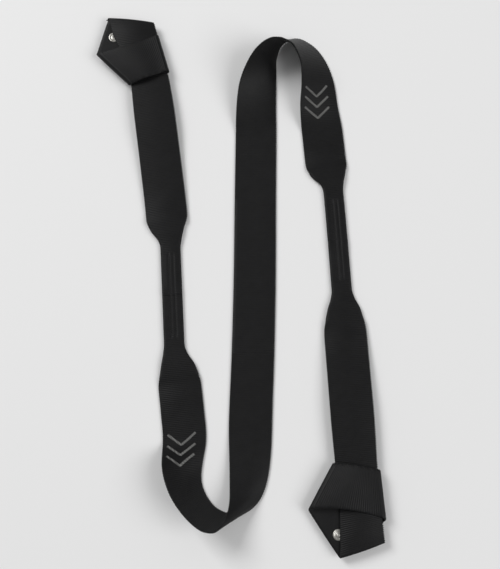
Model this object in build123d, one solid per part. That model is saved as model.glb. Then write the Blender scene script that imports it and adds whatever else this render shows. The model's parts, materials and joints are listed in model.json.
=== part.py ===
"""Stretching strap: one length of webbing with a slip loop, closed by a ring snap, at each end.

The strap lies on a table in a loose S.  X runs across the three legs, Y along them, Z is up, and
the origin is the middle of the footprint, on the table.  All sizes are in millimetres.

The webbing has a right edge, which stays on the table through both bends, and a left edge, which
rises there.  A section of webbing is a straight line from its right edge to its left edge, with a
thickness.  The sections are joined in order into one ruled solid per sub-part.
"""
from build123d import *
import os
from math import cos, pi, radians, sin

# Webbing
WEBBING_WIDTH = 38.0
WEBBING_THICKNESS = 1.6
MOUTH_WIDTH = 36.2  # where the webbing enters a slip loop
PINCHED_WIDTH = 34.2  # under the band that crosses it there
LAYER_CLEARANCE = 0.3  # between layers of webbing that slide on each other
EDGE_CLEARANCE = 0.8 * LAYER_CLEARANCE  # between the webbing's edge and a fold round it
LEG_STRETCH = 1.0  # stretches the places of the legs and bends along Y

# Necks, where both edges are folded under and sewn
NECK_WIDTH = 18.4
NECK_MOUTH_WIDTH = 1.14 * NECK_WIDTH
SHOULDER_WIDTH = 0.36 * NECK_WIDTH + 0.64 * WEBBING_WIDTH
NECK_GAP = 0.2  # between the front of the neck and the folded edges
SEAM_LENGTH = 76.0
SEAM_SPACING = 4.2  # between the two rows of stitches

# Stitches, all of thread that stands a little proud
STITCH_LENGTH = 2.4
STITCH_GAP = 0.8
THREAD_WIDTH = 0.7
THREAD_HEIGHT = 0.35
THREAD_LIFT = 0.08  # keeps a straight thread out of the webbing's curve

# Sewn mark: nested chevrons
MARK_COUNT = 3
MARK_WIDTH = 24.0
MARK_DEPTH = 10.0
MARK_STEP = 10.0
MARK_LINE = 2.4
MARK_ASIDE = 2.5  # from the middle of the webbing towards its left edge
LEFT_MARK_MIDDLE = 139.0  # along the webbing from the middle of the left neck
RIGHT_MARK_MIDDLE = 134.5  # along the webbing from the middle of the right neck

# Ring snaps
CAP_DIAMETER = 12.5
CAP_HEIGHT = 1.2
SOCKET_DIAMETER = 10.0
SOCKET_HEIGHT = 1.5
SOCKET_FLOOR = 0.3
STUD_DIAMETER = 5.4
STUD_WALL = 0.5
STUD_FLANGE = 0.5
STUD_DEPTH = 1.0
SNAP_CLEARANCE = 0.3
EYELET_DIAMETER = 9.8
EYELET_HEIGHT = 0.5
POST_DIAMETER = 3.2
POST_CLEARANCE = 0.1
POST_RIM = 0.4  # how far the rolled end of a post stands out round it
POST_RIM_HEIGHT = 0.3
EYELET_RECESS = 0.8
SNAP_TO_END = 8.0  # from the snap's axis to the webbing's end
CORNER_CUT = 9.0  # off both corners of the webbing's end

# Heights of the layers in a slip loop, from the table up, at the middle of each thickness
TIP_HEIGHT = CAP_HEIGHT + WEBBING_THICKNESS / 2
SNAP_GAP = SOCKET_HEIGHT + SNAP_CLEARANCE + STUD_FLANGE
BACK_HEIGHT = TIP_HEIGHT + WEBBING_THICKNESS + SNAP_GAP
FRONT_HEIGHT = BACK_HEIGHT + WEBBING_THICKNESS + EYELET_HEIGHT + LAYER_CLEARANCE
BAND_HEIGHT = FRONT_HEIGHT + WEBBING_THICKNESS + LAYER_CLEARANCE
REST_HEIGHT = WEBBING_THICKNESS / 2
NECK_THICKNESS = 2 * WEBBING_THICKNESS + NECK_GAP
NECK_HEIGHT = NECK_THICKNESS / 2

SECTIONS_PER_SPAN = 6
FOLD_STEPS = 8
UP = Vector(0, 0, 1)
NEARLY_UPRIGHT = 0.9995  # a normal this upright is made upright, so that level webbing is level


def along(angle):
    """The unit vector at an angle, in degrees, from +X in the table's plane."""
    return Vector(cos(radians(angle)), sin(radians(angle)), 0)


class Section:
    """A line across the webbing from its right edge to its left, with a normal and a thickness."""

    def __init__(self, right, left, thickness, normal=None):
        self.right = right
        self.left = left
        self.thickness = thickness
        self.normal = normal

    @property
    def middle(self):
        return (self.right + self.left) * 0.5

    def outline(self):
        """The section's rectangle."""
        half = self.normal * (self.thickness / 2)
        corners = [self.right - half, self.left - half, self.left + half, self.right + half]
        return Wire.make_polygon(corners, close=True)


def flat(x, y, slant, height=REST_HEIGHT, width=WEBBING_WIDTH, thickness=WEBBING_THICKNESS):
    """A level section: its middle, and the angle of its line from the X axis."""
    middle = Vector(x, y * LEG_STRETCH, height)
    half = along(slant) * (width / 2)
    return Section(middle + half, middle - half, thickness)


def neck(x, y, slant, width=NECK_WIDTH):
    """A level section of a sewn neck."""
    return flat(x, y, slant, NECK_HEIGHT, width, NECK_THICKNESS)


def shoulder(x, y, slant):
    """A level section where the webbing widens out of a neck."""
    thickness = (WEBBING_THICKNESS + NECK_THICKNESS) / 2
    return flat(x, y, slant, NECK_HEIGHT, SHOULDER_WIDTH, thickness)


def raised(x, y, across, along_leg, rise):
    """A section whose right edge is at x, y on the table; the rest is its direction to the left."""
    right = Vector(x, y * LEG_STRETCH, REST_HEIGHT)
    to_left = Vector(across, along_leg, rise).normalized() * WEBBING_WIDTH
    return Section(right, right + to_left, WEBBING_THICKNESS)


# The strap from the mouth of one slip loop to the mouth of the other
LEFT_LEG = [
    flat(-93.5, 191.0, 9.5, FRONT_HEIGHT, MOUTH_WIDTH),
    flat(-88.6, 158.0, 8.5, FRONT_HEIGHT),
    flat(-83.2, 118.5, 7.5, 0.62 * FRONT_HEIGHT),
    flat(-76.6, 67.0, 7.0, 0.28 * FRONT_HEIGHT),
    shoulder(-75.5, 51.6, 6.0),
    neck(-72.7, 40.2, 5.0, NECK_MOUTH_WIDTH),
    neck(-72.0, 28.0, 4.5),
    neck(-69.8, -10.5, 3.2),
    neck(-67.6, -49.4, 3.2),
    neck(-66.5, -62.0, 3.5, NECK_MOUTH_WIDTH),
    shoulder(-63.4, -75.4, 4.5),
    flat(-61.4, -94.5, 5.0),
    flat(-59.0, -115.0, 5.5),
    flat(-56.9, -138.0, 5.5),
]
LOWER_BEND = [
    raised(-41.0, -159.0, -0.88, -0.10, 0.44),
    raised(-41.8, -175.0, -0.68, -0.26, 0.68),
    raised(-36.5, -188.5, -0.50, -0.38, 0.78),
    raised(-27.5, -198.0, -0.38, -0.44, 0.81),
    raised(-15.0, -202.0, -0.42, -0.40, 0.81),
    raised(-1.5, -199.0, -0.64, -0.38, 0.73),
    raised(8.5, -189.5, -0.82, -0.42, 0.58),
    raised(14.5, -175.0, -0.92, -0.48, 0.34),
    raised(18.0, -153.0, -0.97, -0.34, 0.11),
]
CENTRE_LEG = [
    flat(0.6, -120.0, 1.5),
    flat(2.7, -62.0, 1.5),
    flat(4.2, 4.0, 0.8),
    flat(4.9, 80.0, 0.6),
    flat(5.6, 138.0, 0.5),
]
UPPER_BEND = [
    raised(24.5, 165.0, -0.98, 0.00, 0.18),
    raised(24.6, 190.0, -0.88, 0.05, 0.46),
    raised(24.7, 207.0, -0.57, 0.16, 0.80),
    raised(25.0, 221.0, -0.20, 0.06, 0.98),
    raised(31.0, 236.0, -0.07, -0.30, 0.95),
    raised(44.0, 241.5, -0.19, -0.50, 0.84),
    raised(59.0, 234.5, -0.41, -0.52, 0.75),
    raised(71.0, 219.0, -0.62, -0.42, 0.66),
    raised(79.0, 197.0, -0.82, -0.28, 0.50),
    raised(82.5, 172.0, -0.94, -0.13, 0.31),
]
RIGHT_LEG = [
    flat(67.6, 146.0, 5.5, 1.2 * REST_HEIGHT),
    flat(70.3, 116.4, 6.5),
    shoulder(72.6, 102.7, 6.3),
    neck(75.9, 93.9, 5.8, NECK_MOUTH_WIDTH),
    neck(77.2, 81.3, 5.2),
    neck(79.8, 41.5, 3.8),
    neck(82.2, 0.0, 3.3),
    neck(83.0, -12.0, 3.2, NECK_MOUTH_WIDTH),
    shoulder(84.1, -25.8, 3.2),
    flat(85.0, -48.5, 3.2, 0.42 * FRONT_HEIGHT),
    flat(87.0, -86.0, 4.0, 0.8 * FRONT_HEIGHT),
    flat(88.8, -118.0, 4.4, FRONT_HEIGHT),
    flat(91.0, -158.0, 4.8, FRONT_HEIGHT, MOUTH_WIDTH),
]
ROUTE = LEFT_LEG + LOWER_BEND + CENTRE_LEG + UPPER_BEND + RIGHT_LEG


def slope_through(before, here, after):
    """The slope at a value between two others, gentle enough for the line not to overshoot."""
    if (here - before) * (after - here) <= 0:
        return 0.0
    slope = (after - before) / 2
    steepest = 3 * min(abs(here - before), abs(after - here))
    return max(-steepest, min(steepest, slope))


def blend_value(four, share):
    """Between the middle two of four values, on a smooth line that doesn't overshoot them."""
    a, b, c, d = four
    slope_b = slope_through(a, b, c)
    slope_c = slope_through(b, c, d)
    rise = (b - c) * 2 + slope_b + slope_c
    bend = (c - b) * 3 - slope_b * 2 - slope_c
    return ((rise * share + bend) * share + slope_b) * share + b


def blend_vector(four, share):
    """The same for the three coordinates of a vector."""
    rows = [tuple(vector) for vector in four]
    return Vector(*[blend_value(values, share) for values in zip(*rows)])


def smooth_route(route):
    """The route with SECTIONS_PER_SPAN sections for each of its spans, and their normals."""
    sections = []
    last = len(route) - 1
    for index in range(last):
        four = [route[max(index - 1, 0)], route[index], route[index + 1], route[min(index + 2, last)]]
        for step in range(SECTIONS_PER_SPAN):
            share = step / SECTIONS_PER_SPAN
            middle = blend_vector([section.middle for section in four], share)
            half = blend_vector([section.left - section.middle for section in four], share)
            thickness = blend_value([section.thickness for section in four], share)
            sections.append(Section(middle - half, middle + half, thickness))
    sections.append(route[-1])
    for index, section in enumerate(sections):
        ahead = sections[min(index + 1, len(sections) - 1)].middle
        behind = sections[max(index - 1, 0)].middle
        section.normal = (ahead - behind).cross(section.left - section.right).normalized()
        if abs(section.normal.Z) > NEARLY_UPRIGHT:
            section.normal = UP * round(section.normal.Z)
    return sections


def ruled_solid(sections):
    """One solid through sections of webbing in order."""
    return Solid.make_loft([section.outline() for section in sections], True)


def level_solid(sections):
    """One solid through sections that all lie level on the table, with flat faces."""
    edge = [section.right for section in sections] + [section.left for section in sections[::-1]]
    outline = Polyline([Vector(point.X, point.Y, 0) for point in edge], close=True)
    return extrude(make_face(outline), WEBBING_THICKNESS, dir=UP)


def room_for(sections):
    """The space that sections of webbing need, for cutting it out of the webbing beside them."""
    wider = []
    for section in sections:
        across = (section.left - section.right).normalized() * LAYER_CLEARANCE
        thickness = section.thickness + 2 * EDGE_CLEARANCE
        wider.append(
            Section(section.right - across, section.left + across, thickness, section.normal))
    return ruled_solid(wider)


class FoldedEnd:
    """Follows the webbing from a slip loop's mouth through its folds to its tip."""

    def __init__(self, middle, heading, side):
        self.middle = middle
        self.heading = heading
        self.side = side  # 1 where the left edge is on the left of the heading, -1 where it is not
        self.line = heading + 90 * side
        self.width = MOUTH_WIDTH
        self.sections = [self.section()]

    def section(self):
        """The section at this place, along the present line."""
        across = along(self.line)
        reach = self.width / 2 / abs(sin(radians(self.line - self.heading)))
        right = self.middle - across * reach
        left = self.middle + across * reach
        return Section(right, left, WEBBING_THICKNESS, UP)

    def facing(self, line):
        """The same line as an angle that points to the webbing's left edge."""
        if self.side * sin(radians(line - self.heading)) < 0:
            line += 180
        return line + 360 * round((self.line - line) / 360)

    def run(self, length, turn, line=None, width=WEBBING_WIDTH, steps=4):
        """Go on over the table, turning in the plane, and end on the given line and width."""
        start_line = self.line
        start_heading = self.heading
        start_width = self.width
        if line is None:
            line = self.heading + turn + 90 * self.side
            line += 360 * round((start_line - line) / 360)
        else:
            self.heading += turn
            line = self.facing(line)
            self.heading -= turn
        first = len(self.sections)
        for step in range(1, steps + 1):
            share = step / steps
            middle_heading = start_heading + turn * (share - 0.5 / steps)
            self.middle = self.middle + along(middle_heading) * (length / steps)
            self.heading = start_heading + turn * share
            self.line = start_line + (line - start_line) * share
            self.width = start_width + (width - start_width) * share
            self.sections.append(self.section())
        return self.sections[first - 1:]

    def fold(self, climb, bulge, skew=0.0, slide=0.0):
        """Roll over the present line to another height, and come back reversed.

        A loose roll also adds a skew to the heading, and slides the webbing along the line.
        """
        across = along(self.line)
        ahead = Vector(across.Y, -across.X, 0)
        if ahead.dot(along(self.heading)) < 0:
            ahead = ahead * -1
        drift = along(self.heading).dot(across) / along(self.heading).dot(ahead)
        half_climb = climb / 2
        start = self.sections[-1]
        first = len(self.sections)
        for step in range(1, FOLD_STEPS + 1):
            turn = pi * step / FOLD_STEPS
            shift = ahead * (bulge * sin(turn)) + UP * (half_climb * (1 - cos(turn)))
            shift += across * (drift * turn * (bulge + abs(half_climb)) / 2 + slide * turn / pi)
            heading_up = ahead * (bulge * cos(turn)) + UP * (half_climb * sin(turn))
            normal = heading_up.cross(across).normalized() * self.side
            self.sections.append(
                Section(start.right + shift, start.left + shift, WEBBING_THICKNESS, normal))
        self.middle = self.sections[-1].middle
        self.heading = 2 * self.line - self.heading + skew
        self.side = -self.side
        return self.sections[first - 1:]

    def cut_corners(self):
        """Go on to the webbing's end, with both of its corners cut off."""
        width = self.width - 2 * CORNER_CUT
        return self.run(CORNER_CUT, 0.0, width=width, steps=1)


def slip_loop(mouth, heading, side, layout):
    """The webbing of one slip loop, as lists of sections, and the point over its snap."""
    end = FoldedEnd(mouth, heading, side)
    run_lengths = {name: layout[name] * WEBBING_WIDTH for name in RUNS}
    parts = {}
    throat = end.run(run_lengths["throat"], layout["throat_turn"], width=PINCHED_WIDTH)
    front = end.run(run_lengths["front"], layout["front_turn"], layout["end_line"])
    parts["front"] = throat + front[1:]
    parts["bight"] = end.fold(
        BACK_HEIGHT - FRONT_HEIGHT, BIGHT_BULGE, layout["bight_skew"], layout["bight_slide"])
    turn_back = end.run(run_lengths["turn_back"], layout["turn_back_turn"], layout["back_line"])
    back = end.run(run_lengths["back"], layout["back_turn"], layout["diagonal_line"])
    parts["back"] = turn_back + back[1:]
    diagonal = end.fold(BAND_HEIGHT - BACK_HEIGHT, DIAGONAL_BULGE)
    band = end.run(run_lengths["band"], layout["band_turn"], layout["wrap_line"])
    parts["band"] = diagonal + band[1:]
    parts["wrap"] = end.fold(TIP_HEIGHT - BAND_HEIGHT, WRAP_BULGE, layout["wrap_skew"])
    parts["folds"] = (diagonal, parts["wrap"])
    parts["tip"] = end.run(run_lengths["tip"], layout["tip_turn"], steps=8) + end.cut_corners()[1:]
    snap = end.middle - along(end.heading) * SNAP_TO_END
    snap += along(end.heading + 90 * end.side) * layout["snap_offset"]
    return parts, snap


# Each slip loop's runs are shares of the webbing's width, and its turns and lines are degrees.
RUNS = ("throat", "front", "turn_back", "back", "band", "tip")
BIGHT_BULGE = (FRONT_HEIGHT - BACK_HEIGHT) / 2
DIAGONAL_BULGE = 1.8 * WEBBING_THICKNESS
WRAP_BULGE = 1.25 * WEBBING_THICKNESS
RIGHT_LOOP = dict(
    throat=0.65, throat_turn=-1.4, front=1.25, front_turn=-2.6, end_line=18.5,
    bight_skew=0.0, bight_slide=0.0,
    turn_back=0.65, turn_back_turn=-3.0, back_line=38.0, back=0.85, back_turn=-2.5,
    diagonal_line=61.0, band=1.235, band_turn=-18.0, wrap_line=95.0, wrap_skew=4.0,
    tip=1.21, tip_turn=2.0, snap_offset=6.7)
LEFT_LOOP = dict(
    throat=0.64, throat_turn=7.0, front=1.14, front_turn=3.0, end_line=-6.0,
    bight_skew=10.0, bight_slide=2.0,
    turn_back=0.32, turn_back_turn=6.0, back_line=-14.0, back=0.93, back_turn=2.5,
    diagonal_line=-44.5, band=1.155, band_turn=13.0, wrap_line=-73.5, wrap_skew=-12.0,
    tip=1.22, tip_turn=-6.0, snap_offset=9.0)
RIGHT_MOUTH_HEADING = -85.2
LEFT_MOUTH_HEADING = 99.5


def disc(point, bottom, height, diameter):
    """An upright cylinder over a point."""
    place = Pos(point.X, point.Y, bottom)
    return place * Cylinder(diameter / 2, height, align=(Align.CENTER, Align.CENTER, Align.MIN))


def snap_cap(point):
    """The domed cap under the tip, with a post rolled over inside the socket."""
    post_top = TIP_HEIGHT + WEBBING_THICKNESS / 2 + SOCKET_FLOOR
    dome = disc(point, 0, CAP_HEIGHT, CAP_DIAMETER)
    dome = fillet(dome.edges().sort_by(Axis.Z)[0], 0.8 * CAP_HEIGHT)
    post = disc(point, CAP_HEIGHT, post_top - CAP_HEIGHT, POST_DIAMETER)
    rim = disc(point, post_top, POST_RIM_HEIGHT, POST_DIAMETER + 2 * POST_RIM)
    return dome + post + rim


def snap_socket(point):
    """The socket on the tip, open upwards."""
    bottom = TIP_HEIGHT + WEBBING_THICKNESS / 2
    body = disc(point, bottom, SOCKET_HEIGHT, SOCKET_DIAMETER)
    body = fillet(body.edges().sort_by(Axis.Z)[-1], 0.4)
    cavity = disc(point, bottom + SOCKET_FLOOR, SOCKET_HEIGHT, STUD_DIAMETER + 2 * SNAP_CLEARANCE)
    return body - cavity - disc(point, bottom, SOCKET_HEIGHT, POST_DIAMETER + 2 * POST_CLEARANCE)


def snap_stud(point):
    """The stud under the back layer: a flange and a hollow stud that hangs into the socket."""
    top = BACK_HEIGHT - WEBBING_THICKNESS / 2
    flange = disc(point, top - STUD_FLANGE, STUD_FLANGE, SOCKET_DIAMETER)
    stud = disc(point, top - STUD_FLANGE - STUD_DEPTH, STUD_DEPTH, STUD_DIAMETER)
    hollow = disc(point, top - STUD_FLANGE - STUD_DEPTH, STUD_DEPTH, STUD_DIAMETER - 2 * STUD_WALL)
    hole = disc(point, top - STUD_FLANGE, STUD_FLANGE, POST_DIAMETER + 2 * POST_CLEARANCE)
    return flange + stud - hollow - hole


def snap_eyelet(point):
    """The eyelet on top of the back layer, with a post rolled over inside the stud."""
    top = BACK_HEIGHT + WEBBING_THICKNESS / 2
    post_bottom = BACK_HEIGHT - WEBBING_THICKNESS / 2 - STUD_FLANGE
    flange = disc(point, top, EYELET_HEIGHT, EYELET_DIAMETER)
    flange = fillet(flange.edges().sort_by(Axis.Z)[-1], 0.6 * EYELET_HEIGHT)
    post = disc(point, post_bottom, top - post_bottom, POST_DIAMETER)
    rim = disc(point, post_bottom - POST_RIM_HEIGHT, POST_RIM_HEIGHT, POST_DIAMETER + 2 * POST_RIM)
    recess_bottom = top + EYELET_HEIGHT - EYELET_RECESS
    recess = disc(point, recess_bottom, EYELET_RECESS, POST_DIAMETER - 2 * POST_RIM)
    return flange + post + rim - recess


def post_hole(point, height):
    """The hole that a post needs through a layer of webbing at a height."""
    bottom = height - WEBBING_THICKNESS
    return disc(point, bottom, 2 * WEBBING_THICKNESS, POST_DIAMETER + 2 * POST_CLEARANCE)


class Lengthwise:
    """Places on a stretch of webbing, by the distance along its middle and across it."""

    def __init__(self, sections):
        self.sections = sections
        self.distances = [0.0]
        for before, after in zip(sections, sections[1:]):
            self.distances.append(self.distances[-1] + (after.middle - before.middle).length)

    def distance_at(self, index):
        return self.distances[index]

    def face_point(self, distance, across, side):
        """A point on one face of the webbing."""
        index = 0
        while index < len(self.distances) - 2 and self.distances[index + 1] < distance:
            index += 1
        share = distance - self.distances[index]
        share /= self.distances[index + 1] - self.distances[index]
        points = []
        for section in self.sections[index:index + 2]:
            to_left = (section.left - section.right).normalized()
            to_face = section.normal * (side * section.thickness / 2)
            points.append(section.middle + to_left * across + to_face)
        return points[0] * (1 - share) + points[1] * share

    def surface(self, distance, across, side):
        """A point on one face, and the outward normal there."""
        ahead = self.face_point(distance + 0.5, across, side)
        behind = self.face_point(distance - 0.5, across, side)
        left = self.face_point(distance, across + 0.5, side)
        right = self.face_point(distance, across - 0.5, side)
        normal = (ahead - behind).cross(left - right).normalized() * side
        return self.face_point(distance, across, side), normal

    def thread(self, start, end, width, side, steps=1):
        """A bar of thread on the face from one place to another, each a distance and an across."""
        places = []
        for step in range(steps + 1):
            share = step / steps
            distance = start[0] + (end[0] - start[0]) * share
            across = start[1] + (end[1] - start[1]) * share
            places.append(self.surface(distance, across, side))
        direction = (places[-1][0] - places[0][0]).normalized()
        outlines = []
        for point, normal in places:
            half = normal.cross(direction).normalized() * (width / 2)
            foot = point + normal * THREAD_LIFT
            top = foot + normal * THREAD_HEIGHT
            corners = [foot - half, foot + half, top + half, top - half]
            outlines.append(Wire.make_polygon(corners, close=True))
        return Solid.make_loft(outlines, True)


def neck_stitching(stretch, middle, side):
    """Two rows of stitches along a neck, closed by a bar of stitches at each end."""
    pitch = STITCH_LENGTH + STITCH_GAP
    count = int(SEAM_LENGTH // pitch)
    first = middle - (count * pitch - STITCH_GAP) / 2
    last = first + count * pitch - STITCH_GAP
    row = SEAM_SPACING / 2
    stitches = []
    for index in range(count):
        start = first + index * pitch
        for across in (-row, row):
            stitches.append(
                stretch.thread((start, across), (start + STITCH_LENGTH, across), THREAD_WIDTH, side))
    inner = row - THREAD_WIDTH
    for place in (first + THREAD_WIDTH / 2, last - THREAD_WIDTH / 2):
        stitches.append(stretch.thread((place, -inner), (place, inner), THREAD_WIDTH, side))
    return Compound(children=stitches)


def chevron_mark(stretch, middle, side):
    """Nested chevrons of close stitches across the webbing."""
    arms = []
    for index in range(MARK_COUNT):
        place = middle + (index - (MARK_COUNT - 1) / 2) * MARK_STEP
        for half_width in (-MARK_WIDTH / 2, MARK_WIDTH / 2):
            foot = (place - MARK_DEPTH / 2, MARK_ASIDE + half_width)
            near_point = (place + 0.41 * MARK_DEPTH, MARK_ASIDE + 0.09 * half_width)
            arms.append(stretch.thread(foot, near_point, MARK_LINE, side, steps=6))
    return Compound(children=arms)


# Rows of the route where one sub-part ends and the next begins
LEFT_NECK_START = 3
LEFT_NECK_END = 11
LEFT_NECK_MIDDLE = 7
LOWER_BEND_START = len(LEFT_LEG) + 1
LOWER_BEND_END = len(LEFT_LEG + LOWER_BEND)
UPPER_BEND_START = LOWER_BEND_END + len(CENTRE_LEG) - 1
UPPER_BEND_END = UPPER_BEND_START + len(UPPER_BEND) - 1
RIGHT_NECK_START = UPPER_BEND_START + len(UPPER_BEND) + 2
RIGHT_NECK_MIDDLE = RIGHT_NECK_START + 4
RIGHT_NECK_END = RIGHT_NECK_START + 8


def build():
    """Every sub-part by its node's name."""
    sections = smooth_route(ROUTE)
    strap = Lengthwise(sections)

    def between(first_row, last_row):
        return sections[first_row * SECTIONS_PER_SPAN:last_row * SECTIONS_PER_SPAN + 1]

    left, left_snap = slip_loop(ROUTE[0].middle, LEFT_MOUTH_HEADING, 1, LEFT_LOOP)
    right, right_snap = slip_loop(ROUTE[-1].middle, RIGHT_MOUTH_HEADING, -1, RIGHT_LOOP)
    left_top = between(0, LEFT_NECK_START)
    right_foot = between(RIGHT_NECK_END, len(ROUTE) - 1)
    nodes = {
        "left_noose_webbing": ruled_solid(left["front"][:0:-1] + left_top),
        "left_neck_webbing": ruled_solid(between(LEFT_NECK_START, LEFT_NECK_END)),
        "left_leg_webbing": ruled_solid(between(LEFT_NECK_END, LOWER_BEND_START)),
        "lower_bend_webbing": ruled_solid(between(LOWER_BEND_START, LOWER_BEND_END)),
        "centre_leg_webbing": level_solid(between(LOWER_BEND_END, UPPER_BEND_START)),
        "upper_bend_webbing": ruled_solid(between(UPPER_BEND_START, UPPER_BEND_END)),
        "right_leg_webbing": ruled_solid(between(UPPER_BEND_END, RIGHT_NECK_START)),
        "right_neck_webbing": ruled_solid(between(RIGHT_NECK_START, RIGHT_NECK_END)),
        "right_noose_webbing": ruled_solid(right_foot + right["front"][1:]),
    }
    face_up = -1
    for name, middle_row in (("left", LEFT_NECK_MIDDLE), ("right", RIGHT_NECK_MIDDLE)):
        middle = strap.distance_at(middle_row * SECTIONS_PER_SPAN)
        nodes[name + "_neck_stitching"] = neck_stitching(strap, middle, face_up)
    left_middle = strap.distance_at(LEFT_NECK_MIDDLE * SECTIONS_PER_SPAN) + LEFT_MARK_MIDDLE
    right_middle = strap.distance_at(RIGHT_NECK_MIDDLE * SECTIONS_PER_SPAN) - RIGHT_MARK_MIDDLE
    nodes["left_sewn_mark"] = chevron_mark(strap, left_middle, face_up)
    nodes["right_sewn_mark"] = chevron_mark(strap, right_middle, face_up)
    for name, loop, snap in (("left", left, left_snap), ("right", right, right_snap)):
        for fold in loop["folds"]:
            nodes[name + "_noose_webbing"] -= room_for(fold)
        nodes[name + "_bight_webbing"] = ruled_solid(loop["bight"])
        nodes[name + "_back_webbing"] = ruled_solid(loop["back"]) - post_hole(snap, BACK_HEIGHT)
        nodes[name + "_band_webbing"] = ruled_solid(loop["band"])
        nodes[name + "_wrap_webbing"] = ruled_solid(loop["wrap"])
        nodes[name + "_tip_webbing"] = ruled_solid(loop["tip"]) - post_hole(snap, TIP_HEIGHT)
        nodes[name + "_snap_cap"] = snap_cap(snap)
        nodes[name + "_snap_socket"] = snap_socket(snap)
        nodes[name + "_snap_stud"] = snap_stud(snap)
        nodes[name + "_snap_eyelet"] = snap_eyelet(snap)
    return nodes


def footprint_origin(nodes):
    """The middle of the footprint of all the sub-parts, on the table."""
    boxes = [node.bounding_box() for node in nodes.values()]
    low_x = min(box.min.X for box in boxes)
    high_x = max(box.max.X for box in boxes)
    low_y = min(box.min.Y for box in boxes)
    high_y = max(box.max.Y for box in boxes)
    low_z = min(box.min.Z for box in boxes)
    return Vector((low_x + high_x) / 2, (low_y + high_y) / 2, low_z)


def main():
    nodes = build()
    origin = footprint_origin(nodes)
    os.makedirs("parts", exist_ok=True)
    for name, shape in nodes.items():
        export_step(Pos(-origin.X, -origin.Y, -origin.Z) * shape, f"parts/{name}.step")
    print(f"{len(nodes)} sub-parts; the drawn places lie {origin} from the origin")


if __name__ == "__main__":
    main()
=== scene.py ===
"""A stretching strap of black woven webbing, laid in a loose S, with a slip loop at each end.

Sizes are in millimetres in the webbing's own frame, whose origin is on the table between the legs.
Finished meshes are in metres in the frame of the part.
"""
import json
import logging
from dataclasses import dataclass, field
from enum import Enum
from math import cos, pi, radians, sin, tau
from typing import Any

import bpy
import numpy as np
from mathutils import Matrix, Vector


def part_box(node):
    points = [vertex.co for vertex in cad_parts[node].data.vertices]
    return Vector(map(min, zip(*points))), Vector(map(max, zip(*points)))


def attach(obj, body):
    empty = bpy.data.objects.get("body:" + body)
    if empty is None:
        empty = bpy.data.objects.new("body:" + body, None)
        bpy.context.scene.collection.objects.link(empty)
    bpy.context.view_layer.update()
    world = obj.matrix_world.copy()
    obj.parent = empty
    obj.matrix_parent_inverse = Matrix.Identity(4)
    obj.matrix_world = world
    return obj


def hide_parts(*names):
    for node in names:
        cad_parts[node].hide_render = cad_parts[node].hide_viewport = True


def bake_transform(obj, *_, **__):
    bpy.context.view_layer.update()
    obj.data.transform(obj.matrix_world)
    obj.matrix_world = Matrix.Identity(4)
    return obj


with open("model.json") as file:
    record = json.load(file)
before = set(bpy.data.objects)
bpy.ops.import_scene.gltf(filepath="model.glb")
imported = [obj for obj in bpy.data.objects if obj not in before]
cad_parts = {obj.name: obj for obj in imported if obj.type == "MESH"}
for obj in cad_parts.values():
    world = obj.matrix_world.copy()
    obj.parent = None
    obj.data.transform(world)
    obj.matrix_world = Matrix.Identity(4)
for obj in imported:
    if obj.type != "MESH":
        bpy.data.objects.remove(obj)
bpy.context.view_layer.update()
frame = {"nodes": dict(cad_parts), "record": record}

log = logging.getLogger("strap")

# The webbing, and the heights of the middle of its layers in a slip loop
WIDTH = 38.0
THICKNESS = 1.6
REST_HEIGHT = 0.8
TIP_HEIGHT = 2.0
BACK_HEIGHT = 5.9
FRONT_HEIGHT = 8.3
BAND_HEIGHT = 10.2
MOUTH_WIDTH = 36.2
PINCHED_WIDTH = 34.2
# The necks, whose edges are folded under
NECK_WIDTH = 18.4
NECK_MOUTH_WIDTH = 21.0
SHOULDER_WIDTH = 31.0
NECK_THICKNESS = 3.4
# The swelling where a neck opens: height, distance past the shoulder, reach
SPOON = 1.6
SPOON_SHIFT = 4.0
SPOON_REACH = 13.0
# The weave; the relief is weaker on the smoother face and on the left edge
RIB_PITCH = 1.6
RIB_HEIGHT = 0.15
TOOTH_PITCH = 2.0
TOOTH_HEIGHT = 0.6
SMOOTH_FACE_RELIEF = 0.45
LEFT_EDGE_RELIEF = 0.3
# How the stitches draw the webbing down, and how far from a cut end a swelling is whole
VALLEY_DEPTH = 0.85
VALLEY_REACH = 0.8
RIDGE_HEIGHT = 0.4
RIDGE_REACH = 1.1
SETTLED = 14.0
# How finely things are drawn
ROWS_PER_RIB = 4
ROUTE_STEPS = 24
LIFT_ROWS = 41
TABLE_GAP = 0.03
UP = np.array((0.0, 0.0, 1.0))

Piece = bpy.types.Object
Section = tuple[np.ndarray, np.ndarray, np.ndarray]


class Face(Enum):
    """Which face of the webbing lies on top; the value is the sign of its normal."""

    RIBBED = -1
    SMOOTH = 1


# ---------------------------------------------------------------- shading helpers


def linear(hex_colour: str, alpha: float = 1.0) -> tuple[float, float, float, float]:
    """Turn an sRGB hex colour into linear values.

    Args:
        hex_colour: six hex digits, with or without a leading #.
        alpha: the fourth value.

    Returns:
        Red, green, blue and alpha.
    """
    digits = hex_colour.lstrip("#")
    values = [int(digits[place:place + 2], 16) / 255 for place in (0, 2, 4)]
    red, green, blue = (v / 12.92 if v <= 0.04045 else ((v + 0.055) / 1.055) ** 2.4 for v in values)
    return red, green, blue, alpha


def add_node(tree: bpy.types.NodeTree, kind: str, links: dict[Any, Any] | None = None,
             **settings: Any) -> bpy.types.Node:
    """Add a node with its settings and links.

    Args:
        tree: the tree that it goes into.
        kind: the node's type.
        links: output sockets by the input's name or number.
        settings: values by the node's property, or by an input's name with _ for a space.

    Returns:
        The new node.
    """
    node = tree.nodes.new(kind)
    for name, value in settings.items():
        if hasattr(node, name):
            setattr(node, name, value)
        else:
            node.inputs[name.replace("_", " ")].default_value = value
    for key, socket in (links or {}).items():
        if isinstance(socket, bpy.types.NodeSocket):
            tree.links.new(socket, node.inputs[key])
        else:
            node.inputs[key].default_value = socket
    return node


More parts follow.
